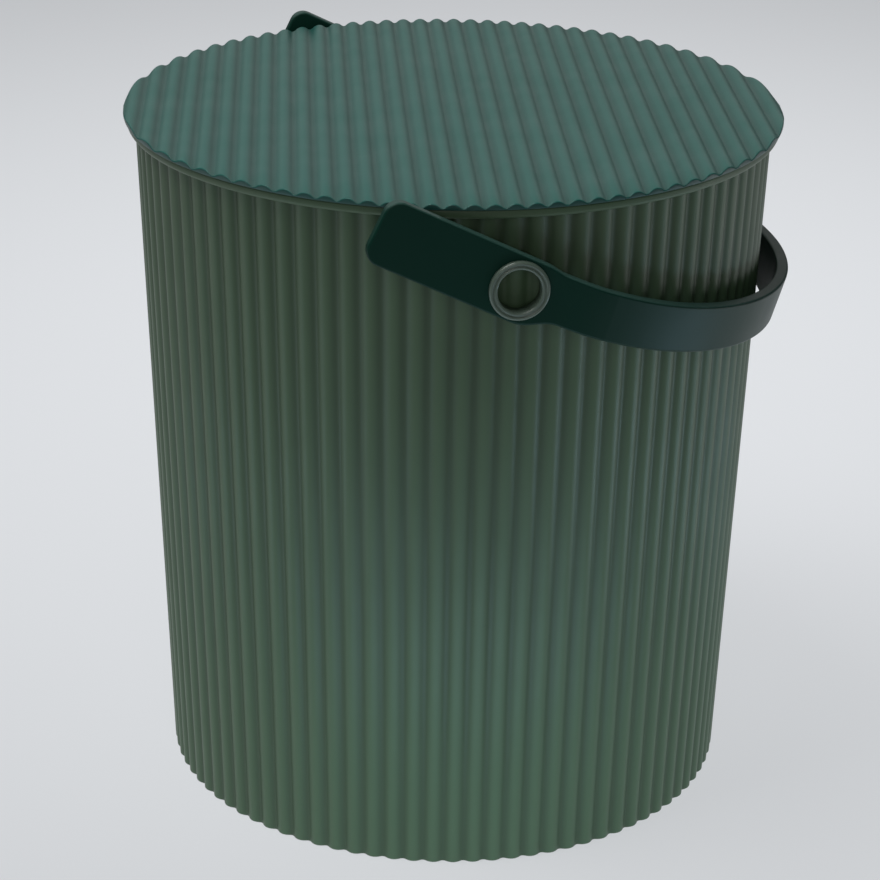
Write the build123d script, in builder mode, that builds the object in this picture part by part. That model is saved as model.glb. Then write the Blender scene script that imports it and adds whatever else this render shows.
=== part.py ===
"""Round bucket with a fluted wall, a corrugated lift-off lid and a swinging strap handle.

Frame: millimetres, +Z up.  The origin is on the ground, at the centre of the bucket's
foot.  The handle's hinge line runs along Y at z = hinge_z; the strap folds down towards +X.
"""
import os
from math import atan2, ceil, cos, degrees, hypot, pi, radians, sin, sqrt

from build123d import *

os.makedirs("parts", exist_ok=True)

# ---------------------------------------------------------------- driving dimensions
# bucket body
SHOULDER_R = 152.0      # radius over the flute crests just under the rim
SHOULDER_Z = 330.0      # underside of the rim
TAPER = 11.6            # how much less the radius is at the ground
FLUTES = 90             # vertical flutes round the wall
FLUTE_DEPTH = 1.7       # crest to valley
CREST_SHARE = 0.7       # of every wave's pitch; a broad crest, a narrow valley
WALL = 1.9              # wall left behind a valley
FLOOR_RECESS = 2.5      # the floor stands this far above the ground
FLOOR_THICK = 3.0
FLOOR_CORNER = 7.0      # rounding where the inside meets the floor
FOOT_RING_W = 9.7       # ring the bucket stands on, inside the flute valleys
RIM_OUT = 4.0           # the rim bead stands out this far past the crests
RIM_H = 4.2             # height of the bead
RIM_LOW_ROUND = 1.6
RIM_HIGH_ROUND = 0.8
SEAT_RISE = 0.3         # raised seat that carries the lid
SEAT_W = 3.0

# lid
LID_OVERHANG = 1.5      # past the rim bead, all round
LID_T = 2.8             # over the crests
LID_WAVE = 9.0          # pitch of the corrugation
LID_WAVE_DEPTH = 1.9    # crest to valley
LID_TURN = -6.85        # the corrugation is turned from the hinge line, degrees
MOUTH_GAP = 0.5         # round the locating ring, inside the mouth
LOCATING_WALL = 1.8
LOCATING_DROP = 9.0
LID_RIB_W = 1.8
LID_RIB_DROP = 6.0      # stiffening ribs under the plate
LID_HOOPS = (40.0, 94.0)
LID_SPOKES = 12

# pivots
HINGE_DROP = 29.4       # hinge line below the underside of the rim
COLLAR_LIP = 2.0        # the spacing collar reaches this far past the eye
THRUST_GAP = 0.2        # between the strap and the collar, and the strap and the ring
EYE_R = 11.5            # bore of the strap's eye
EYE_CLEARANCE = 0.07    # radial, on the journal
JOURNAL_WALL = 1.03
BORE_DEPTH = 7.4        # from the ring's face to the flutes at the bottom
RING_LIP = 2.0          # the retaining ring reaches this far past the eye
RING_T = 2.4
RING_SLEEVE = 4.0       # length of its sleeve inside the journal
SLEEVE_WALL = 0.6
SLEEVE_CLEARANCE = 0.05
RING_OUTER_ROUND = 1.2
RING_INNER_ROUND = 0.8

# strap handle
STRAP_T = 5.8           # thickness
ARM_CLEARANCE = 1.0     # between the flat arms and the lid's edge
SWING_CLEARANCE = 0.6   # between the curved grip and the lid's edge, as it passes over
BEND_R = 60.0           # easy bend between an arm and the grip
GRIP_W = 22.4           # width of the grip
GRIP_LOW = 48.6         # middle of the grip below the hinge line when folded
ARM_ROOT_X = 16.0       # where the band of the arm starts, beyond the hinge line
ARM_ROOT_DROP = 4.8     # and how far below it
BAND_CURVE_R = 550.0    # the band's slight upward curve, seen along the hinge line
EYE_LAND = 3.5          # strap left above and below the eye; the tail is as wide
TAIL_TILT = 26.0        # slope of the tail when folded
TAIL_LEN = 69.0         # hinge line to the tail's end
TAIL_CORNER = 7.0
STEP_START = 7.5        # the strap narrows between these distances past the eye
STEP_END_X = 22.3
STEP_LEAD = 4.0         # the lower edge steps in this much sooner than the upper one
STRAP_EDGE = 1.1        # rounding of the strap's edges

# ---------------------------------------------------------------- what follows from them
foot_r = SHOULDER_R - TAPER
rim_r = SHOULDER_R + RIM_OUT
rim_top_z = SHOULDER_Z + RIM_H
seat_z = rim_top_z + SEAT_RISE
lid_r = rim_r + LID_OVERHANG
lid_top_z = seat_z + LID_T
hinge_z = SHOULDER_Z - HINGE_DROP
floor_top = FLOOR_RECESS + FLOOR_THICK
skin = FLUTE_DEPTH + WALL


def wall_r(z):
    """Radius over the crests at height z."""
    return foot_r + TAPER * z / SHOULDER_Z


inner_low = wall_r(floor_top) - skin
inner_high = wall_r(SHOULDER_Z) - skin
pivot_root = inner_high - skin                # trimmed by the inside of the bucket

arm_in = lid_r + ARM_CLEARANCE                # inner and outer faces of the flat arms
arm_out = arm_in + STRAP_T
arm_y = arm_in + STRAP_T / 2
grip_r = hypot(lid_r, lid_top_z - hinge_z) + SWING_CLEARANCE + STRAP_T / 2
collar_r = EYE_R + COLLAR_LIP
collar_face = arm_in - THRUST_GAP
journal_r = EYE_R - EYE_CLEARANCE
journal_bore = journal_r - JOURNAL_WALL
journal_end = arm_out + THRUST_GAP
ring_face = journal_end + RING_T
ring_r = EYE_R + RING_LIP
sleeve_r = journal_bore - SLEEVE_CLEARANCE
ring_bore = sleeve_r - SLEEVE_WALL


def flute_arcs(crest_r):
    """Start, middle and end of every arc of one closed fluted outline."""
    step = 2 * pi / FLUTES
    mid_r = crest_r - CREST_SHARE * FLUTE_DEPTH
    arcs = []
    for i in range(FLUTES):
        crest = -pi / 2 + i * step
        for centre, r, half in ((crest, crest_r, CREST_SHARE * step / 2),
                                (crest + step / 2, crest_r - FLUTE_DEPTH, (1 - CREST_SHARE) * step / 2)):
            ends = [(mid_r * cos(centre + s * half), mid_r * sin(centre + s * half)) for s in (-1, 1)]
            arcs.append((ends[0], (r * cos(centre), r * sin(centre)), ends[1]))
    return arcs


# ---------------------------------------------------------------- flutes inside a pivot's bore
flute_pitch = 2 * pi * wall_r(hinge_z) / FLUTES
pad_r = (journal_bore + journal_r) / 2        # ends inside the journal's wall
pad_crest = -(ring_face - BORE_DEPTH)
pad_waves = ceil(pad_r / flute_pitch)

with BuildPart() as pivot_pad:
    with BuildSketch(Plane.XY.offset(hinge_z - pad_r)):
        with BuildLine():
            pad_mid = pad_crest + CREST_SHARE * FLUTE_DEPTH
            half = CREST_SHARE * flute_pitch / 2
            for i in range(-pad_waves, pad_waves + 1):
                x0 = i * flute_pitch
                ThreePointArc((x0 - half, pad_mid), (x0, pad_crest), (x0 + half, pad_mid))
                if i < pad_waves:
                    ThreePointArc((x0 + half, pad_mid), (x0 + flute_pitch / 2, pad_crest + FLUTE_DEPTH),
                                  (x0 + flute_pitch - half, pad_mid))
            pad_x = pad_waves * flute_pitch + half
            Polyline((pad_x, pad_mid), (pad_x, -pivot_root), (-pad_x, -pivot_root), (-pad_x, pad_mid))
        make_face()
    extrude(amount=2 * pad_r)
    with BuildSketch(Plane(origin=(0, -pivot_root, hinge_z), x_dir=(1, 0, 0), z_dir=(0, -1, 0))):
        Circle(pad_r)
    extrude(amount=ring_face - pivot_root, mode=Mode.INTERSECT)

# ---------------------------------------------------------------- bucket body
with BuildPart() as bucket_body:
    # fluted wall, tapering out from the foot to the rim
    for z in (0.0, SHOULDER_Z):
        with BuildSketch(Plane.XY.offset(z)):
            with BuildLine():
                for start, middle, end in flute_arcs(wall_r(z)):
                    ThreePointArc(start, middle, end)
            make_face()
    loft(ruled=True)

    # rim: a bead with rounded edges and a slightly raised seat for the lid
    with BuildSketch(Plane.XZ) as rim_section:
        with BuildLine():
            Polyline(
                (inner_high - skin, SHOULDER_Z),
                (rim_r, SHOULDER_Z),
                (rim_r, rim_top_z),
                (inner_high + SEAT_W, rim_top_z),
                (inner_high + SEAT_W, seat_z),
                (inner_high - skin, seat_z),
                close=True,
            )
        make_face()
        bead = rim_section.vertices().group_by(Axis.X)[-1].sort_by(Axis.Y)
        fillet(bead[0], RIM_LOW_ROUND)
        bead = rim_section.vertices().group_by(Axis.X)[-1].sort_by(Axis.Y)
        fillet(bead[-1], RIM_HIGH_ROUND)
    revolve(axis=Axis.Z)

    # collars and journals of the two pivots, with the wall's flutes carried on in the bores
    for side in (-1, 1):
        pivot_plane = Plane(origin=(0, side * pivot_root, hinge_z), x_dir=(1, 0, 0), z_dir=(0, side, 0))
        for r, end in ((collar_r, collar_face), (journal_r, journal_end)):
            with BuildSketch(pivot_plane):
                Circle(r)
                Circle(journal_bore, mode=Mode.SUBTRACT)
            extrude(amount=end - pivot_root)
    add(pivot_pad.part)
    add(mirror(pivot_pad.part, about=Plane.XZ, mode=Mode.PRIVATE))

    # the inside, with a rounded corner at the floor
    with BuildSketch(Plane.XZ) as cavity:
        with BuildLine():
            Polyline(
                (0, floor_top),
                (inner_low, floor_top),
                (inner_high, SHOULDER_Z),
                (inner_high, lid_top_z),
                (0, lid_top_z),
                close=True,
            )
        make_face()
        fillet(cavity.vertices().group_by(Axis.Y)[0].sort_by(Axis.X)[-1], FLOOR_CORNER)
    revolve(axis=Axis.Z, mode=Mode.SUBTRACT)

    # recess under the floor, leaving a flat ring to stand on
    with BuildSketch(Plane.XY):
        Circle(foot_r - FLUTE_DEPTH - FOOT_RING_W)
    extrude(amount=FLOOR_RECESS, mode=Mode.SUBTRACT)

bucket_body.part.label = "bucket_body"

# ---------------------------------------------------------------- lid
turn = radians(LID_TURN)
wave_mid = lid_top_z - CREST_SHARE * LID_WAVE_DEPTH
waves = ceil(lid_r / LID_WAVE)
locating_r = inner_high - MOUTH_GAP

with BuildPart() as lid:
    # corrugated plate: straight parallel waves above a flat underside, cut to a circle
    with BuildSketch(Plane(origin=(0, 0, 0), x_dir=(cos(turn), sin(turn), 0), z_dir=(sin(turn), -cos(turn), 0))):
        with BuildLine():
            half = CREST_SHARE * LID_WAVE / 2
            for i in range(-waves, waves + 1):
                x0 = i * LID_WAVE
                ThreePointArc((x0 - half, wave_mid), (x0, lid_top_z), (x0 + half, wave_mid))
                if i < waves:
                    ThreePointArc((x0 + half, wave_mid), (x0 + LID_WAVE / 2, lid_top_z - LID_WAVE_DEPTH),
                                  (x0 + LID_WAVE - half, wave_mid))
            plate_x = waves * LID_WAVE + half
            Polyline((plate_x, wave_mid), (plate_x, seat_z), (-plate_x, seat_z), (-plate_x, wave_mid))
        make_face()
    extrude(amount=lid_r + LID_WAVE, both=True)
    with BuildSketch(Plane.XY.offset(seat_z)):
        Circle(lid_r)
    extrude(amount=2 * LID_T, mode=Mode.INTERSECT)

    # locating ring, hoops and spokes on the underside
    with BuildSketch(Plane.XY.offset(seat_z)):
        Circle(locating_r)
        Circle(locating_r - LOCATING_WALL, mode=Mode.SUBTRACT)
    extrude(amount=-LOCATING_DROP)
    for r in LID_HOOPS:
        with BuildSketch(Plane.XY.offset(seat_z)):
            Circle(r + LID_RIB_W / 2)
            Circle(r - LID_RIB_W / 2, mode=Mode.SUBTRACT)
        extrude(amount=-LID_RIB_DROP)
    spoke_in, spoke_out = LID_HOOPS[0], locating_r - LOCATING_WALL / 2
    with BuildSketch(Plane.XY.offset(seat_z)):
        with PolarLocations((spoke_in + spoke_out) / 2, LID_SPOKES):
            Rectangle(spoke_out - spoke_in, LID_RIB_W)
    extrude(amount=-LID_RIB_DROP)

lid.part.label = "lid"

# ---------------------------------------------------------------- strap handle
slope = radians(TAIL_TILT)
grip_x = sqrt(grip_r ** 2 - GRIP_LOW ** 2)
fold = atan2(GRIP_LOW, grip_x)                # slope of the plane of the grip when folded

# the band's middle line, seen along the hinge line, is one arc from the arm's root to the grip
chord_x, chord_z = grip_x - ARM_ROOT_X, GRIP_LOW - ARM_ROOT_DROP
chord = hypot(chord_x, chord_z)
chord_slope = atan2(chord_z, chord_x)
rise = sqrt(BAND_CURVE_R ** 2 - (chord / 2) ** 2)
band_cx = ARM_ROOT_X + chord_x / 2 + rise * sin(chord_slope)
band_cz = hinge_z - ARM_ROOT_DROP - chord_z / 2 + rise * cos(chord_slope)


def on_tail(s, w):
    """Point at distance s past the eye and offset w above the tail's middle line."""
    return (s * cos(slope) + w * sin(slope), hinge_z - s * sin(slope) + w * cos(slope))


def on_band(x, w):
    """Point of the band's edge, offset w above its middle line, at x."""
    r = BAND_CURVE_R - w
    return (x, band_cz - sqrt(r ** 2 - (x - band_cx) ** 2))


def band_dir(x, w):
    """Direction of the band's edge at x."""
    px, pz = on_band(x, w)
    r = BAND_CURVE_R - w
    return ((band_cz - pz) / r, (px - band_cx) / r)


half_eye, half_grip = EYE_R + EYE_LAND, GRIP_W / 2
corner_cut = TAIL_CORNER * (1 - sqrt(0.5))
tail_end = -TAIL_LEN
beyond = grip_r + STRAP_T                     # past the far side of the grip

with BuildPart() as carry_handle:
    # seen along the hinge line: tail, eye, a step down in width, then the band
    with BuildSketch(Plane.XZ):
        with BuildLine():
            for w_eye, w_band, lead in ((half_eye, half_grip, 0), (-half_eye, -half_grip, STEP_LEAD)):
                sgn = 1 if w_eye > 0 else -1
                step_start, step_end = STEP_START - lead, STEP_END_X - lead
                Spline(on_tail(step_start, w_eye), on_band(step_end, w_band),
                       tangents=((cos(slope), -sin(slope)), band_dir(step_end, w_band)),
                       tangent_scalars=(1.2, 1.2))
                ThreePointArc(on_band(step_end, w_band), on_band((step_end + beyond) / 2, w_band),
                              on_band(beyond, w_band))
                Line(on_tail(step_start, w_eye), on_tail(tail_end + TAIL_CORNER, w_eye))
                ThreePointArc(on_tail(tail_end + TAIL_CORNER, w_eye),
                              on_tail(tail_end + corner_cut, w_eye - sgn * corner_cut),
                              on_tail(tail_end, w_eye - sgn * TAIL_CORNER))
            Line(on_tail(tail_end, half_eye - TAIL_CORNER), on_tail(tail_end, -half_eye + TAIL_CORNER))
            Line(on_band(beyond, half_grip), on_band(beyond, -half_grip))
        make_face()
    extrude(amount=arm_out + STRAP_T, both=True)

    # seen square to the grip's plane: two straight arms bent into a half ring
    bend_x = sqrt((grip_r - BEND_R) ** 2 - (arm_y - BEND_R) ** 2)
    bend_y = arm_y - BEND_R
    bend_a = atan2(bend_y, bend_x)
    arm_back = -(TAIL_LEN + half_eye)
    with BuildSketch(Plane(origin=(0, 0, hinge_z), x_dir=(cos(fold), 0, -sin(fold)), z_dir=(sin(fold), 0, cos(fold)))):
        with BuildLine():
            for sgn in (1, -1):
                for h in (STRAP_T / 2, -STRAP_T / 2):
                    a_mid = (bend_a + pi / 2) / 2
                    p1 = (bend_x, sgn * (arm_y + h))
                    p2 = (bend_x + (BEND_R + h) * cos(a_mid), sgn * (bend_y + (BEND_R + h) * sin(a_mid)))
                    p3 = ((grip_r + h) * cos(bend_a), sgn * (grip_r + h) * sin(bend_a))
                    Line((arm_back, sgn * (arm_y + h)), p1)
                    ThreePointArc(p1, p2, p3)
                    if sgn == 1:
                        ThreePointArc(p3, (grip_r + h, 0), (p3[0], -p3[1]))
                Line((arm_back, sgn * arm_out), (arm_back, sgn * arm_in))
        make_face()
    extrude(amount=TAIL_LEN + 2 * half_eye, both=True, mode=Mode.INTERSECT)

    # rounded edges all round the strap, then the two eyes
    rims = carry_handle.edges().filter_by(lambda e: abs(e.length - STRAP_T) > 0.02)
    fillet(rims, STRAP_EDGE)
    for side in (-1, 1):
        with BuildSketch(Plane(origin=(0, side * pivot_root, hinge_z), x_dir=(1, 0, 0), z_dir=(0, side, 0))):
            Circle(EYE_R)
        extrude(amount=ring_face - pivot_root, mode=Mode.SUBTRACT)

carry_handle.part.label = "carry_handle"

# ---------------------------------------------------------------- retaining rings
ring_parts = []
for side, name in ((-1, "pivot_ring_near"), (1, "pivot_ring_far")):
    ring_plane = Plane(origin=(0, side * journal_end, hinge_z), x_dir=(1, 0, 0), z_dir=(0, side, 0))
    with BuildPart() as pivot_ring:
        with BuildSketch(ring_plane):
            Circle(ring_r)
            Circle(ring_bore, mode=Mode.SUBTRACT)
        extrude(amount=RING_T)
        for pick, r in ((-1, RING_OUTER_ROUND), (0, RING_INNER_ROUND)):
            lip = pivot_ring.faces().sort_by(Axis.Y)[-1 if side > 0 else 0]
            fillet(lip.edges().sort_by(SortBy.RADIUS)[pick], r)
        with BuildSketch(ring_plane):
            Circle(sleeve_r)
            Circle(ring_bore, mode=Mode.SUBTRACT)
        extrude(amount=-RING_SLEEVE)
    pivot_ring.part.label = name
    ring_parts.append(pivot_ring.part)

print(f"fold {degrees(fold):.2f} degrees, grip radius {grip_r:.2f}, arms {arm_in:.2f} to {arm_out:.2f}, "
      f"ring face {ring_face:.2f}, lid top {lid_top_z:.2f}")

# ---------------------------------------------------------------- write the pieces
for piece in (bucket_body.part, lid.part, carry_handle.part, *ring_parts):
    export_step(piece, f"parts/{piece.label}.step")
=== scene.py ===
# %% [markdown]
# A round plastic bucket, ribbed all the way round like corrugated card, with a flat
# ribbed lid and a strap handle that folds down against its side. Everything is moulded
# plastic, so the picture depends on two things: the exact rhythm of the flutes, which
# turns soft light into fine stripes, and four greens with slightly different sheens.
# The frame of solids is loaded first. The wall, the lid, the pivots and the rings are
# then made again as smooth surfaces, worked out with numpy from the same sizes in
# millimetres, and the strap keeps its solid and gets its finish.

# %% Load the solids
from math import radians

import bmesh
import bpy
import numpy as np
from mathutils import Matrix, Vector


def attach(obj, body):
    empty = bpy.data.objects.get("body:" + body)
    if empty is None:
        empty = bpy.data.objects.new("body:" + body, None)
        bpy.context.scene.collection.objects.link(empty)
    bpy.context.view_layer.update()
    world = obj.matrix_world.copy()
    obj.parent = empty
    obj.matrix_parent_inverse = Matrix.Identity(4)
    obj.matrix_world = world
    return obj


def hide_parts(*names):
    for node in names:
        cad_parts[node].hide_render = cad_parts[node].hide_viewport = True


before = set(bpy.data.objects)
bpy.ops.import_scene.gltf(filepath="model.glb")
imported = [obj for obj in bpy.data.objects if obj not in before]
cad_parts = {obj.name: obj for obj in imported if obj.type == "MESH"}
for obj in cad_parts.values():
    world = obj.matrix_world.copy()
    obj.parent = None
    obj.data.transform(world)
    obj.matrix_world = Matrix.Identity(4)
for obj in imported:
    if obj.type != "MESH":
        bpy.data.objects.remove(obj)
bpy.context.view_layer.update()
print("solids:", sorted(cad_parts))

# %% [markdown]
# The camera stands where the photographer's did: about 1.3 m in front of the bucket and
# 0.7 m up, looking 23 degrees down through a longish lens, with a small tilt of the
# horizon. It was found by fitting the outlines of the lid and the foot. The handle's
# hinge line is turned 10.35 degrees from the camera's line, so the camera is placed in a
# frame of its own and then turned about the bucket's axis.

# %% Camera
CAMERA_DISTANCE, CAMERA_HEIGHT = 1.274643, 0.705067
PITCH, YAW, ROLL = 0.403537, -0.0031672, 0.0151334
CAMERA_AZIMUTH = radians(10.35)
LENS_MM, SENSOR_MM = 112.45, 36.0

look = np.array([np.sin(YAW) * np.cos(PITCH), np.cos(YAW) * np.cos(PITCH), -np.sin(PITCH)])
level = np.array([np.cos(YAW), -np.sin(YAW), 0.0])
upright = np.cross(level, look)
right_axis = np.cos(ROLL) * level + np.sin(ROLL) * upright
up_axis = -np.sin(ROLL) * level + np.cos(ROLL) * upright
camera_turn = Matrix((right_axis, up_axis, -look)).transposed().to_4x4()

camera_data = bpy.data.cameras.new("camera")
camera_data.sensor_fit = "HORIZONTAL"
camera_data.sensor_width = SENSOR_MM
camera_data.lens = LENS_MM
camera = bpy.data.objects.new("camera", camera_data)
bpy.context.collection.objects.link(camera)
camera.matrix_world = (
    Matrix.Rotation(-CAMERA_AZIMUTH, 4, "Z")
    @ Matrix.Translation((0, -CAMERA_DISTANCE, CAMERA_HEIGHT))
    @ camera_turn
)
bpy.context.scene.camera = camera
print("camera at", [round(c, 3) for c in camera.matrix_world.translation])

# %% [markdown]
# The bucket stands on a pale sheet that glows a little, so its shadow all but disappears.
# The sheet looks paler to the camera than the light it casts: through the Light Path
# node one strength is what it shows, and another is what reaches the bucket. Both fade
# with distance from a place behind the bucket, and the cast light fades towards the
# front as well.

# %% Floor
FLOOR_HALF = 6.0
SHEET_GREY, SHEET_ROUGHNESS, SHEET_SPECULAR = (0.25, 0.255, 0.265), 0.9, 0.1
GLOW_CENTRE = (0.2, 0.57, 0)
GLOW_NEAR = 0.69
SEEN_FAR, SEEN_REACH = 0.42, 1.5
CAST_FAR, CAST_REACH = 0.0, 2.7
FRONT_DIM, FRONT_SHARE = (-0.8, -0.35), 0.25
PALE = (0.94, 0.965, 1.0)

sheet = bpy.data.materials.new("studio sheet")
sheet.use_nodes = True
nodes, links = sheet.node_tree.nodes, sheet.node_tree.links
sheet_shader = nodes["Principled BSDF"]
sheet_shader.inputs["Base Color"].default_value = (*SHEET_GREY, 1)
sheet_shader.inputs["Roughness"].default_value = SHEET_ROUGHNESS
sheet_shader.inputs["Specular IOR Level"].default_value = SHEET_SPECULAR
sheet_shader.inputs["Emission Color"].default_value = (*PALE, 1)


def ease(value, start, stop, first, last):
    """Carry a node's value smoothly from first, at start, to last, at stop."""
    node = nodes.new("ShaderNodeMapRange")
    node.interpolation_type = "SMOOTHSTEP"
    numbers = {"From Min": start, "From Max": stop, "To Min": first, "To Max": last}
    for socket, number in numbers.items():
        node.inputs[socket].default_value = number
    links.new(value, node.inputs["Value"])
    return node.outputs["Result"]


place = nodes.new("ShaderNodeTexCoord").outputs["Object"]
distance = nodes.new("ShaderNodeVectorMath")
distance.operation = "DISTANCE"
distance.inputs[1].default_value = GLOW_CENTRE
links.new(place, distance.inputs[0])
axes = nodes.new("ShaderNodeSeparateXYZ")
links.new(place, axes.inputs["Vector"])

cast = nodes.new("ShaderNodeMath")
cast.operation = "MULTIPLY"
links.new(ease(distance.outputs["Value"], 0, CAST_REACH, GLOW_NEAR, CAST_FAR), cast.inputs[0])
links.new(ease(axes.outputs["Y"], *FRONT_DIM, FRONT_SHARE, 1), cast.inputs[1])
glow = nodes.new("ShaderNodeMix")
links.new(nodes.new("ShaderNodeLightPath").outputs["Is Camera Ray"], glow.inputs["Factor"])
links.new(cast.outputs["Value"], glow.inputs["A"])
links.new(ease(distance.outputs["Value"], 0, SEEN_REACH, GLOW_NEAR, SEEN_FAR), glow.inputs["B"])
links.new(glow.outputs["Result"], sheet_shader.inputs["Emission Strength"])

floor_mesh = bpy.data.meshes.new("floor")
floor_mesh.from_pydata(
    [(x * FLOOR_HALF, y * FLOOR_HALF, 0) for x, y in ((-1, -1), (1, -1), (1, 1), (-1, 1))],
    [], [(0, 1, 2, 3)])
floor_mesh.materials.append(sheet)
floor = bpy.data.objects.new("floor", floor_mesh)
bpy.context.collection.objects.link(floor)

# %% [markdown]
# The world casts almost no light, and the camera sees it as a backdrop about as pale as
# the far sheet. The wall is darkest at the top and palest near the foot, so small lamps, three
# of them bluish, lie low and close on three sides. They are kept off the sheet by light
# linking, so that no pools of light show on it. A large panel behind gives the flat lid
# its sheen, and a weak fill in front reaches into the pivots. No lamp shows to the camera.

# %% Light
bpy.context.scene.view_settings.view_transform = "Standard"
SURROUND, SURROUND_STRENGTH = (0.90, 0.97, 0.93), 0.05
BACKDROP_STRENGTH = 0.45

world = bpy.data.worlds.new("studio")
bpy.context.scene.world = world
world.use_nodes = True
nodes, links = world.node_tree.nodes, world.node_tree.links
surround, backdrop = nodes["Background"], nodes.new("ShaderNodeBackground")
surround.inputs["Color"].default_value = (*SURROUND, 1)
surround.inputs["Strength"].default_value = SURROUND_STRENGTH
backdrop.inputs["Color"].default_value = (*PALE, 1)
backdrop.inputs["Strength"].default_value = BACKDROP_STRENGTH
either = nodes.new("ShaderNodeMixShader")
links.new(nodes.new("ShaderNodeLightPath").outputs["Is Camera Ray"], either.inputs["Fac"])
links.new(surround.outputs["Background"], either.inputs[1])
links.new(backdrop.outputs["Background"], either.inputs[2])
links.new(either.outputs["Shader"], nodes["World Output"].inputs["Surface"])


def softbox(name, place, aim, width, height, watts, colour=(1, 1, 1)):
    """A rectangular lamp at place, turned to face aim."""
    data = bpy.data.lights.new(name, "AREA")
    data.shape = "RECTANGLE"
    data.size, data.size_y = width, height
    data.energy = watts
    data.color = colour
    lamp = bpy.data.objects.new(name, data)
    bpy.context.collection.objects.link(lamp)
    lamp.location = place
    lamp.rotation_euler = (Vector(aim) - Vector(place)).to_track_quat("-Z", "Y").to_euler()
    lamp.visible_camera = False
    return lamp


BOUNCE = (0.5, 0.8, 1.0)
softbox("front fill", (-0.5, -3.0, 1.5), (0, 0, 0.2), 2.0, 2.0, 14.0)
softbox("overhead", (-0.8, -0.2, 2.1), (0, 0, 0.1), 1.0, 1.2, 21.0)
softbox("back panel", (0.3, 2.6, 1.3), (0, 0, 0.3), 3.6, 1.6, 8.5)
low_lamps = [
    softbox("left lamp", (-0.75, -0.1, 0.06), (0, 0, 0.06), 0.3, 0.2, 0.18),
    softbox("right lamp", (0.75, -0.1, 0.06), (0, 0, 0.06), 0.3, 0.2, 0.32),
    softbox("left bounce", (-0.42, -0.18, 0.03), (-0.08, -0.08, 0.04), 0.2, 0.06, 0.13, BOUNCE),
    softbox("right bounce", (0.42, -0.22, 0.03), (0.08, -0.08, 0.03), 0.2, 0.06, 0.22, BOUNCE),
    softbox("front bounce", (-0.02, -0.30, 0.03), (0, -0.1, 0.04), 0.34, 0.06, 0.20, BOUNCE),
]
spared = bpy.data.collections.new("spared by the low lamps")
spared.objects.link(floor)
spared.collection_objects[0].light_linking.link_state = "EXCLUDE"
for lamp in low_lamps:
    lamp.light_linking.receiver_collection = spared

# %% [markdown]
# Every new piece is a grid of points in rows and columns, turned into quads. Rows or
# columns that close on themselves are joined by index. Points that fall together, as at
# a pole, are merged, and the faces are then made to point outwards.

# %% Grid to mesh
MM = 0.001
CREST_SHARE = 0.7


def surface(name, grid, body, close_rows=False, close_columns=False):
    """Make a smooth mesh from grid[row, column] = (x, y, z) in millimetres.

    Quad (i, j) joins points (i, j), (i, j+1), (i+1, j+1), (i+1, j); a closed direction
    wraps its last index to the first.
    """
    rows, columns = grid.shape[:2]
    i = np.arange(rows if close_rows else rows - 1)
    j = np.arange(columns if close_columns else columns - 1)
    i, j = np.meshgrid(i, j, indexing="ij")
    next_i, next_j = (i + 1) % rows, (j + 1) % columns
    quads = np.stack([i * columns + j, i * columns + next_j,
                      next_i * columns + next_j, next_i * columns + j], -1).reshape(-1, 4)
    mesh = bpy.data.meshes.new(name)
    mesh.vertices.add(rows * columns)
    mesh.vertices.foreach_set("co", (grid.reshape(-1, 3) * MM).astype(np.float32).ravel())
    mesh.loops.add(quads.size)
    mesh.loops.foreach_set("vertex_index", quads.astype(np.int32).ravel())
    mesh.polygons.add(len(quads))
    mesh.polygons.foreach_set("loop_start", np.arange(0, quads.size, 4, dtype=np.int32))
    mesh.update(calc_edges=True)
    mesh.validate()

    work = bmesh.new()
    work.from_mesh(mesh)
    bmesh.ops.remove_doubles(work, verts=work.verts, dist=2e-6)
    bmesh.ops.dissolve_degenerate(work, edges=work.edges, dist=1e-7)
    bmesh.ops.recalc_face_normals(work, faces=work.faces)
    work.to_mesh(mesh)
    open_edges = sum(1 for e in work.edges if len(e.link_faces) != 2)
    work.free()
    mesh.polygons.foreach_set("use_smooth", np.ones(len(mesh.polygons), dtype=bool))
    piece = bpy.data.objects.new(name, mesh)
    bpy.context.collection.objects.link(piece)
    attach(piece, body)
    print(f"{name}: {len(mesh.polygons)} faces, {open_edges} open edges")
    return piece


def ridge(turns):
    """Depth of the wave, 0 on a crest and 1 in a valley, at a place counted in waves.

    A broad convex arc makes the crest and a narrow one the valley; they meet on a slope.
    """
    off = np.abs(turns - np.round(turns))
    half = CREST_SHARE / 2
    return np.where(off < half, CREST_SHARE * (off / half) ** 2,
                    1 - (1 - CREST_SHARE) * ((0.5 - off) / (0.5 - half)) ** 2)


def mark_painted_shade(piece, shade_of):
    """Store how much painted shade each point gets, from 0 to 1, for the plastic to read.

    The function given takes the points' x, y and z in millimetres.
    """
    points = np.empty(3 * len(piece.data.vertices), dtype=np.float32)
    piece.data.vertices.foreach_get("co", points)
    x, y, z = points.reshape(-1, 3).T / MM
    painted_shade = piece.data.attributes.new("painted_shade", "FLOAT", "POINT")
    painted_shade.data.foreach_set("value", np.clip(shade_of(x, y, z), 0, 1).astype(np.float32))


def arc(centre, radius, start, stop, count):
    """Points on a circle in the profile's plane, from angle start to stop in degrees."""
    a = np.radians(np.linspace(start, stop, count))
    return [(centre[0] + radius * np.cos(t), centre[1] + radius * np.sin(t)) for t in a]


# %% [markdown]
# The wall of the bucket is one skin. A profile runs from the middle of the underside,
# round the foot, up the outside, over the rim and down the inside to the middle of the
# floor. It is turned about the axis, and the radius is eased in by ninety waves to the
# turn. A weight along the profile says how much of the wave each station gets: all of it
# on the outer wall and the edge of the foot, none on the rim or inside.

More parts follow.
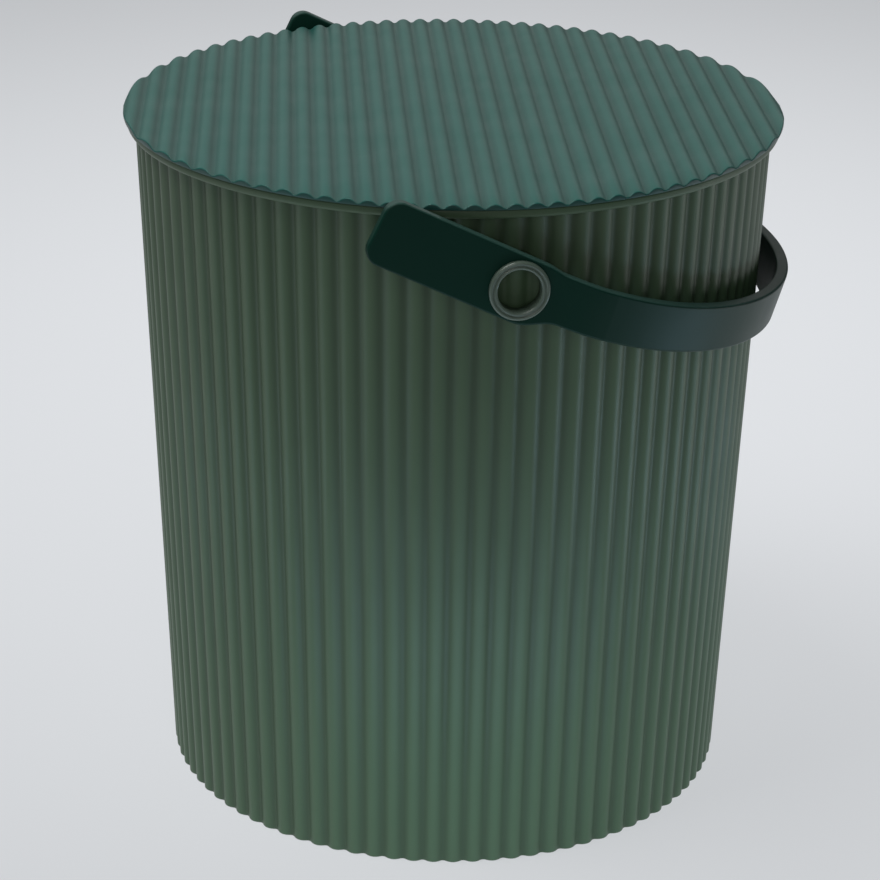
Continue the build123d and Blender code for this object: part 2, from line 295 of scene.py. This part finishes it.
# %% Bucket wall
FOOT_R, SHOULDER_R, SHOULDER_Z = 140.4, 152.0, 330.0
FLUTES, FLUTE_DEPTH, WALL = 90, 1.7, 1.9
FLOOR_RECESS, FLOOR_TOP, FOOT_RING_R = 2.5, 5.5, 129.0
RIM_R, RIM_TOP, SEAT_Z, SEAT_W = 156.0, 334.2, 334.5, 3.0
RECESS_FLAT_R, FADE_R, HALF_FADE_R = 126, 133, 137
RECESS_ROUND, RING_ROUND, FOOT_ROUND, FLOOR_ROUND = 0.8, 0.5, 0.9, 7.0
RIM_LOW_ROUND, RIM_HIGH_ROUND, SEAT_ROUND = 1.6, 0.8, 0.5
SAMPLES_PER_FLUTE = 20


def wall_r(z):
    """Radius over the crests: it grows in a straight line from the foot to the shoulder."""
    return FOOT_R + (SHOULDER_R - FOOT_R) * z / SHOULDER_Z


def plain(points):
    """Stations of a profile that get none of the wave."""
    return [(r, z, 0.0) for r, z in points]


def fluted(points):
    """Stations of a profile that get all of the wave."""
    return [(r, z, 1.0) for r, z in points]


inner_high = SHOULDER_R - FLUTE_DEPTH - WALL
inner_low = wall_r(FLOOR_TOP) - FLUTE_DEPTH - WALL
lean = (inner_high - inner_low) / (SHOULDER_Z - FLOOR_TOP)
seat_out = inner_high + SEAT_W

underside = (
    plain([(0, FLOOR_RECESS), (RECESS_FLAT_R, FLOOR_RECESS)])
    + plain(arc((FOOT_RING_R - RECESS_ROUND, FLOOR_RECESS - RECESS_ROUND), RECESS_ROUND, 90, 0, 4))
    + plain(arc((FOOT_RING_R + RING_ROUND, RING_ROUND), RING_ROUND, 180, 270, 4))
    + [(FADE_R, 0, 0.0), (HALF_FADE_R, 0, 0.5)]
)
outer_wall = (
    fluted(arc((FOOT_R - FOOT_ROUND, FOOT_ROUND), FOOT_ROUND, -90, 0, 5))
    + fluted([(wall_r(z), z) for z in np.linspace(4, SHOULDER_Z - 1.2, 5)])
    + [(SHOULDER_R + 0.05, SHOULDER_Z - 0.5, 1.0), (SHOULDER_R + 0.3, SHOULDER_Z - 0.12, 0.9),
       (SHOULDER_R + 0.9, SHOULDER_Z, 0.4), (SHOULDER_R + 1.5, SHOULDER_Z, 0.0)]
)
rim = plain(
    arc((RIM_R - RIM_LOW_ROUND, SHOULDER_Z + RIM_LOW_ROUND), RIM_LOW_ROUND, -90, 0, 6)
    + arc((RIM_R - RIM_HIGH_ROUND, RIM_TOP - RIM_HIGH_ROUND), RIM_HIGH_ROUND, 0, 90, 5)
    + [(seat_out + 0.5, RIM_TOP), (seat_out + 0.1, RIM_TOP + 0.05),
       (seat_out, RIM_TOP + 0.2), (seat_out - 0.15, SEAT_Z), (inner_high + SEAT_ROUND, SEAT_Z)]
    + arc((inner_high + SEAT_ROUND, SEAT_Z - SEAT_ROUND), SEAT_ROUND, 90, 180, 4)
)
inside = plain(
    [(inner_high, SHOULDER_Z + 1), (inner_high, SHOULDER_Z)]
    + [(inner_low + lean * (z - FLOOR_TOP), z) for z in np.linspace(250, 20, 3)]
    + arc((inner_low + 0.25 - FLOOR_ROUND, FLOOR_TOP + FLOOR_ROUND), FLOOR_ROUND, 0, -90, 5)
    + [(0, FLOOR_TOP)]
)
wall_profile = underside + outer_wall + rim + inside
profile = np.array(wall_profile)
theta = -np.pi / 2 + np.linspace(0, 2 * np.pi, FLUTES * SAMPLES_PER_FLUTE, endpoint=False)
wave = FLUTE_DEPTH * ridge(FLUTES * (theta + np.pi / 2) / (2 * np.pi))
radius = profile[:, :1] - profile[:, 2:] * wave[None, :]
wall_grid = np.stack([radius * np.cos(theta), radius * np.sin(theta),
                      np.broadcast_to(profile[:, 1:2], radius.shape)], -1)
bucket_wall = surface("bucket_wall", wall_grid, "bucket", close_columns=True)


def wall_painted_shade(x, y, z):
    """Painted shade by how deep in a flute a point of the outer wall lies; 0 on the rest of the bucket."""
    outside = (np.hypot(x, y) > wall_r(z) - FLUTE_DEPTH - WALL / 2) & (z < SHOULDER_Z)
    return outside * ridge(FLUTES * (np.arctan2(y, x) / (2 * np.pi) + 0.25))


# Painted shade: the valleys of the wall's flutes are darker than the crests.
mark_painted_shade(bucket_wall, wall_painted_shade)

# %% [markdown]
# Each pivot is a collar that stands off the wall and a tube, the journal, on which the
# strap turns. Both are one turned shape, so a profile of distance from the hinge line
# and distance from the bucket's axis is carried round the hinge line.

# %% Pivot posts
HINGE_Z = 300.6
COLLAR_R, COLLAR_FACE = 13.5, 158.3
JOURNAL_R, JOURNAL_BORE, JOURNAL_END = 11.43, 10.4, 164.5
POST_ROOT = 147.8
COLLAR_ROUND, JOURNAL_CHAMFER = 0.5, 0.2
TURN_SAMPLES = 96


def turned_on_hinge(name, points, side, body):
    """Carry a closed profile of (radius, distance from the bucket's axis) round the hinge line."""
    r, out = np.array(points).T
    a = np.linspace(0, 2 * np.pi, TURN_SAMPLES, endpoint=False)
    grid = np.stack([r[:, None] * np.cos(a), np.broadcast_to(side * out[:, None], (len(r), len(a))),
                     HINGE_Z + r[:, None] * np.sin(a)], -1)
    return surface(name, grid, body, close_rows=True, close_columns=True)


post_profile = (
    [(JOURNAL_BORE, POST_ROOT), (COLLAR_R, POST_ROOT), (COLLAR_R, COLLAR_FACE - 3)]
    + arc((COLLAR_R - COLLAR_ROUND, COLLAR_FACE - COLLAR_ROUND), COLLAR_ROUND, 0, 90, 4)
    + [(JOURNAL_R, COLLAR_FACE), (JOURNAL_R, COLLAR_FACE + JOURNAL_CHAMFER),
       (JOURNAL_R, JOURNAL_END - JOURNAL_CHAMFER), (JOURNAL_R - JOURNAL_CHAMFER, JOURNAL_END),
       (JOURNAL_BORE + JOURNAL_CHAMFER, JOURNAL_END), (JOURNAL_BORE, JOURNAL_END - JOURNAL_CHAMFER)]
)
posts = [turned_on_hinge(f"pivot_post_{end}", post_profile, s, "bucket")
         for end, s in (("near", -1), ("far", 1))]

# %% [markdown]
# At the bottom of each tube the flutes of the wall go on, which is the small detail that
# shows through the ring. A round patch of the same wave is laid out in columns along
# the flutes, and each column is a thin loop that comes back behind the wall's skin.

# %% Flutes in the bores
PAD_R, PAD_CREST, PAD_BACK = 10.9, 159.5, 150.2
PAD_COLUMNS, PAD_STEPS = 61, 9
FLUTE_PITCH = 2 * np.pi * wall_r(HINGE_Z) / FLUTES

pad_x = np.linspace(-PAD_R, PAD_R, PAD_COLUMNS)
pad_wave = PAD_CREST - FLUTE_DEPTH * ridge(pad_x / FLUTE_PITCH)
pad_reach = np.sqrt(np.maximum(PAD_R ** 2 - pad_x ** 2, 0))
pad_rows = [(t, pad_wave) for t in np.linspace(-1, 1, PAD_STEPS)]
pad_rows += [(t, np.full_like(pad_x, PAD_BACK)) for t in (1, 0, -1)]
for end, s in (("near", -1), ("far", 1)):
    pad_grid = np.array([np.stack([pad_x, s * out, HINGE_Z + t * pad_reach], -1) for t, out in pad_rows])
    posts.append(surface(f"bore_flutes_{end}", pad_grid, "bucket", close_rows=True))

# %% [markdown]
# The retaining ring is what the eye goes to first. Its face has two rounded lips with a
# shallow groove between them, which gives two thin circles of light. The profile is
# drawn lip by lip with arcs, and turned about the hinge line like the posts.

# %% Retaining rings
RING_R, RING_BORE, RING_T = 13.5, 9.75, 2.4
SLEEVE_R, SLEEVE, SLEEVE_CHAMFER = 10.35, 4.0, 0.1
OUTER_LIP, INNER_LIP = 1.0, 0.9
GROOVE_R, GROOVE_HALF, GROOVE_DEPTH, GROOVE_EDGE = 11.5, 0.4, 0.5, 0.42
ring_back, ring_face = JOURNAL_END, JOURNAL_END + RING_T
sleeve_end = ring_back - SLEEVE

ring_profile = (
    [(RING_R, ring_back), (RING_R, ring_face - OUTER_LIP - 0.2)]
    + arc((RING_R - OUTER_LIP, ring_face - OUTER_LIP), OUTER_LIP, 0, 120, 8)
    + [(GROOVE_R + GROOVE_HALF, ring_face - GROOVE_EDGE), (GROOVE_R, ring_face - GROOVE_DEPTH),
       (GROOVE_R - GROOVE_HALF, ring_face - GROOVE_EDGE)]
    + arc((RING_BORE + INNER_LIP, ring_face - INNER_LIP), INNER_LIP, 60, 180, 8)
    + [(RING_BORE, ring_back), (RING_BORE, sleeve_end + SLEEVE_CHAMFER),
       (RING_BORE + SLEEVE_CHAMFER, sleeve_end), (SLEEVE_R - SLEEVE_CHAMFER, sleeve_end),
       (SLEEVE_R, sleeve_end + SLEEVE_CHAMFER), (SLEEVE_R, ring_back)]
)
rings = {f"pivot_ring_{end}": turned_on_hinge(f"ring_{end}", ring_profile, s, "bucket")
         for end, s in (("near", -1), ("far", 1))}

# %% [markdown]
# The lid is corrugated in straight lines from edge to edge, and cut to a circle. A polar
# grid would blur the waves at the rim, so the columns of this grid are the wave's own
# lines. Each column is a thin loop: over the top from the front edge to the back, down
# the rim and home along the flat underside. Where a column ends is Pythagoras on the
# lid's radius, and the rounding of the rim is a set of slightly smaller radii.

# %% Lid plate
LID_R, LID_TOP, LID_WAVE, LID_WAVE_DEPTH = 157.5, 337.3, 9.0, 1.9
LID_TURN = radians(-6.85)
RIM_ROUND, EDGE_CUT, EDGE_EASE = 0.45, 0.3, 0.08
TOP_SHADE, TOP_FROM, SIDE_IN, SIDE_DOWN = 0.6, 0.4, 0.35, 0.3
SAMPLES_PER_WAVE = 24

q = np.linspace(-LID_R, LID_R, int(2 * LID_R / LID_WAVE * SAMPLES_PER_WAVE) + 1)
crown = LID_TOP - LID_WAVE_DEPTH * ridge(q / LID_WAVE)


def reach(rho):
    """How far along its line each column goes inside a circle of radius rho."""
    return np.sqrt(np.maximum(rho ** 2 - q ** 2, 0))


edge = [(reach(LID_R - EDGE_CUT), np.full_like(q, SEAT_Z)),
        (reach(LID_R - EDGE_EASE), np.full_like(q, SEAT_Z + EDGE_EASE)),
        (reach(LID_R), np.full_like(q, SEAT_Z + EDGE_CUT))]
for turn in np.radians(np.linspace(0, 90, 5)):
    edge.append((reach(LID_R - RIM_ROUND * (1 - np.cos(turn))), crown - RIM_ROUND * (1 - np.sin(turn))))
top = [(reach(LID_R - RIM_ROUND) * t, crown) for t in np.linspace(1, 0, 7)[1:]]
under = [(reach(LID_R - EDGE_CUT) * t, np.full_like(q, SEAT_Z)) for t in np.linspace(1, -1, 9)[1:-1]]

front_half = [(-out, z) for out, z in edge + top]
back_half = top[::-1][1:] + edge[::-1]
along, height = (np.array(rows) for rows in zip(*front_half, *back_half, *under))
across_dir = np.array([np.cos(LID_TURN), np.sin(LID_TURN)])
along_dir = np.array([-np.sin(LID_TURN), np.cos(LID_TURN)])
lid_grid = np.stack([q[None, :] * across_dir[0] + along * along_dir[0],
                     q[None, :] * across_dir[1] + along * along_dir[1], height], -1)
lid_plate = surface("lid_plate", lid_grid, "lid", close_rows=True)


def lid_painted_shade(x, y, z):
    """Painted shade on the lid: by its wave on top, 1 on the thin side, 0 underneath."""
    wave = ridge((x * across_dir[0] + y * across_dir[1]) / LID_WAVE)
    side = (np.hypot(x, y) > LID_R - SIDE_IN) & (z < LID_TOP - LID_WAVE_DEPTH * wave - SIDE_DOWN)
    return np.where(side, 1.0, TOP_SHADE * wave * (z > SEAT_Z + TOP_FROM))


# Painted shade: the lid's wave valleys are darker than its crests, and its thin side darker still.
mark_painted_shade(lid_plate, lid_painted_shade)

# %% [markdown]
# Under the lid, and seen only when it is lifted, are a locating ring that drops into the
# bucket's mouth and a star of stiffening ribs. The rings are turned profiles and the
# spokes are long rounded bars, all sunk a hair into the plate.

# %% Lid underside
SPIGOT_R, SPIGOT_WALL, SPIGOT_DROP = 147.9, 1.8, 9.0
RIB_W, RIB_DROP, HOOPS = 1.8, 6.0, (40.0, 94.0)
SPOKES, SPOKE_START, SPOKE_END = 12, 38.2, 146.6
SINK, HOOP_ROUND, HOOP_SAMPLES = 0.3, 0.5, 240


def hoop(name, inner, outer, drop):
    """A ring under the lid: a box section with a rounded lower edge, turned about the axis."""
    round_z = SEAT_Z - drop + HOOP_ROUND
    section = ([(inner, SEAT_Z + SINK), (inner, round_z)]
               + arc((inner + HOOP_ROUND, round_z), HOOP_ROUND, 180, 270, 4)
               + arc((outer - HOOP_ROUND, round_z), HOOP_ROUND, 270, 360, 4)
               + [(outer, SEAT_Z + SINK)])
    r, z = np.array(section).T
    a = np.linspace(0, 2 * np.pi, HOOP_SAMPLES, endpoint=False)
    grid = np.stack([r[:, None] * np.cos(a), r[:, None] * np.sin(a),
                     np.broadcast_to(z[:, None], (len(r), len(a)))], -1)
    return surface(name, grid, "lid", close_rows=True, close_columns=True)


lid_parts = [hoop("lid_locating_ring", SPIGOT_R - SPIGOT_WALL, SPIGOT_R, SPIGOT_DROP)]
for n, r in enumerate(HOOPS):
    lid_parts.append(hoop(f"lid_hoop_{n}", r - RIB_W / 2, r + RIB_W / 2, RIB_DROP))

rib_foot = SEAT_Z - RIB_DROP
rib_mid = np.array([0.0, SEAT_Z - RIB_DROP / 2])
one_side = [(0.5, rib_foot), (0.78, rib_foot + 0.12), (RIB_W / 2, rib_foot + 0.4), (RIB_W / 2, SEAT_Z + SINK)]
spoke_section = np.array([(-v, z) for v, z in one_side[::-1]] + one_side)
stations = [(SPOKE_START, 0.0), (SPOKE_START, 1.0), (SPOKE_END, 1.0), (SPOKE_END, 0.0)]
for n in range(SPOKES):
    a = 2 * np.pi * n / SPOKES
    rows = []
    for s, grow in stations:
        v, z = (rib_mid + (spoke_section - rib_mid) * grow).T
        rows.append(np.stack([s * np.cos(a) - v * np.sin(a), s * np.sin(a) + v * np.cos(a), z], -1))
    lid_parts.append(surface(f"lid_spoke_{n:02d}", np.array(rows), "lid", close_columns=True))

# %% [markdown]
# These pieces stand for the solids of the body, the lid and the two rings.

# %% Hide the solids they replace
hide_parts("bucket_body")
for post in posts:
    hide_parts("bucket_body")
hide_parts("lid")
for part in lid_parts:
    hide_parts("lid")
for node, ring in rings.items():
    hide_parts(node)

# %% [markdown]
# All four plastics share one recipe: a colour with slow, faint clouds in it, a roughness
# that wanders a little, and a very fine bump that breaks up the highlights. Light and
# shade are also painted into the colours, because this light alone makes three contrasts
# too weak: painted shade makes the valleys of the waves darker than the crests and the
# lid's thin side darker still, and a painted highlight makes the strap paler on the faces
# that look up.

# %% Moulded plastic
CLOUD_SCALE, CLOUD_DETAIL = 14.0, 5.0
SHEEN_SCALE, SHEEN_DETAIL, SHEEN_SWING = 45.0, 4.0, 0.06
GRAIN_SCALE, GRAIN_DETAIL, GRAIN, GRAIN_DEPTH = 2000.0, 3.0, 0.06, 0.0002
LOOKS_UP = (0.25, 0.9)


def moulded_plastic(name, colour, cloud, roughness, specular=0.5, painted_shade=1.0, painted_highlight=None):
    """Principled shader: colour mixed towards cloud by slow noise, fine bump, uneven roughness.

    Where a piece marks painted shade, the colour is multiplied by the shade factor given.
    Faces that look up take on a paler colour as a painted highlight, if one is given.
    """
    material = bpy.data.materials.new(name)
    material.use_nodes = True
    nodes, links = material.node_tree.nodes, material.node_tree.links
    shader = nodes["Principled BSDF"]
    shader.inputs["Specular IOR Level"].default_value = specular
    coordinates = nodes.new("ShaderNodeTexCoord")

    def noise(scale, detail):
        node = nodes.new("ShaderNodeTexNoise")
        node.inputs["Scale"].default_value = scale
        node.inputs["Detail"].default_value = detail
        links.new(coordinates.outputs["Object"], node.inputs["Vector"])
        return node.outputs["Fac"]

    mix = nodes.new("ShaderNodeMix")
    mix.data_type = "RGBA"
    mix.inputs["A"].default_value = (*colour, 1)
    mix.inputs["B"].default_value = (*cloud, 1)
    links.new(noise(CLOUD_SCALE, CLOUD_DETAIL), mix.inputs["Factor"])

    # Painted shade: the colour is darkened as far as the piece's mark says.
    shade = nodes.new("ShaderNodeMix")
    shade.data_type = "RGBA"
    shade.blend_type = "MULTIPLY"
    shade.inputs["B"].default_value = (painted_shade, painted_shade, painted_shade, 1)
    mark = nodes.new("ShaderNodeAttribute")
    mark.attribute_name = "painted_shade"
    links.new(mark.outputs["Fac"], shade.inputs["Factor"])
    links.new(mix.outputs["Result"], shade.inputs["A"])
    base = shade.outputs["Result"]

    # Painted highlight: faces that look up are made paler.
    if painted_highlight:
        facing = nodes.new("ShaderNodeSeparateXYZ")
        links.new(coordinates.outputs["Normal"], facing.inputs["Vector"])
        highlight_mask = nodes.new("ShaderNodeMapRange")
        highlight_mask.interpolation_type = "SMOOTHSTEP"
        highlight_mask.inputs["From Min"].default_value = LOOKS_UP[0]
        highlight_mask.inputs["From Max"].default_value = LOOKS_UP[1]
        links.new(facing.outputs["Z"], highlight_mask.inputs["Value"])
        highlight_mix = nodes.new("ShaderNodeMix")
        highlight_mix.data_type = "RGBA"
        highlight_mix.inputs["B"].default_value = (*painted_highlight, 1)
        links.new(highlight_mask.outputs["Result"], highlight_mix.inputs["Factor"])
        links.new(base, highlight_mix.inputs["A"])
        base = highlight_mix.outputs["Result"]
    links.new(base, shader.inputs["Base Color"])

    rough = nodes.new("ShaderNodeMapRange")
    rough.inputs["To Min"].default_value = roughness - SHEEN_SWING
    rough.inputs["To Max"].default_value = roughness + SHEEN_SWING
    links.new(noise(SHEEN_SCALE, SHEEN_DETAIL), rough.inputs["Value"])
    links.new(rough.outputs["Result"], shader.inputs["Roughness"])

    bump = nodes.new("ShaderNodeBump")
    bump.inputs["Strength"].default_value = GRAIN
    bump.inputs["Distance"].default_value = GRAIN_DEPTH
    links.new(noise(GRAIN_SCALE, GRAIN_DETAIL), bump.inputs["Height"])
    links.new(bump.outputs["Normal"], shader.inputs["Normal"])
    return material


# The factors that darken the wall's and the lid's valleys are painted shade, and the strap's paler colour for
# faces that look up is a painted highlight.
bucket_green = moulded_plastic("bucket grey green", (0.062, 0.108, 0.056), (0.072, 0.122, 0.066),
                               0.46, specular=0.4, painted_shade=0.66)
lid_green = moulded_plastic("lid blue green", (0.020, 0.155, 0.128), (0.026, 0.170, 0.142),
                            0.42, painted_shade=0.40)
strap_green = moulded_plastic("strap dark green", (0.002, 0.028, 0.018), (0.003, 0.033, 0.022),
                              0.42, specular=0.16, painted_highlight=(0.045, 0.105, 0.088))
ring_green = moulded_plastic("ring grey green", (0.095, 0.135, 0.105), (0.110, 0.150, 0.120),
                             0.30, specular=0.7)


def finish(pieces, material):
    """Give pieces one material."""
    for piece in pieces:
        piece.data.materials.clear()
        piece.data.materials.append(material)


finish([bucket_wall, *posts], bucket_green)
finish([lid_plate, *lid_parts], lid_green)
finish(list(rings.values()), ring_green)
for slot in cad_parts["carry_handle"].material_slots:
    slot.material = strap_green
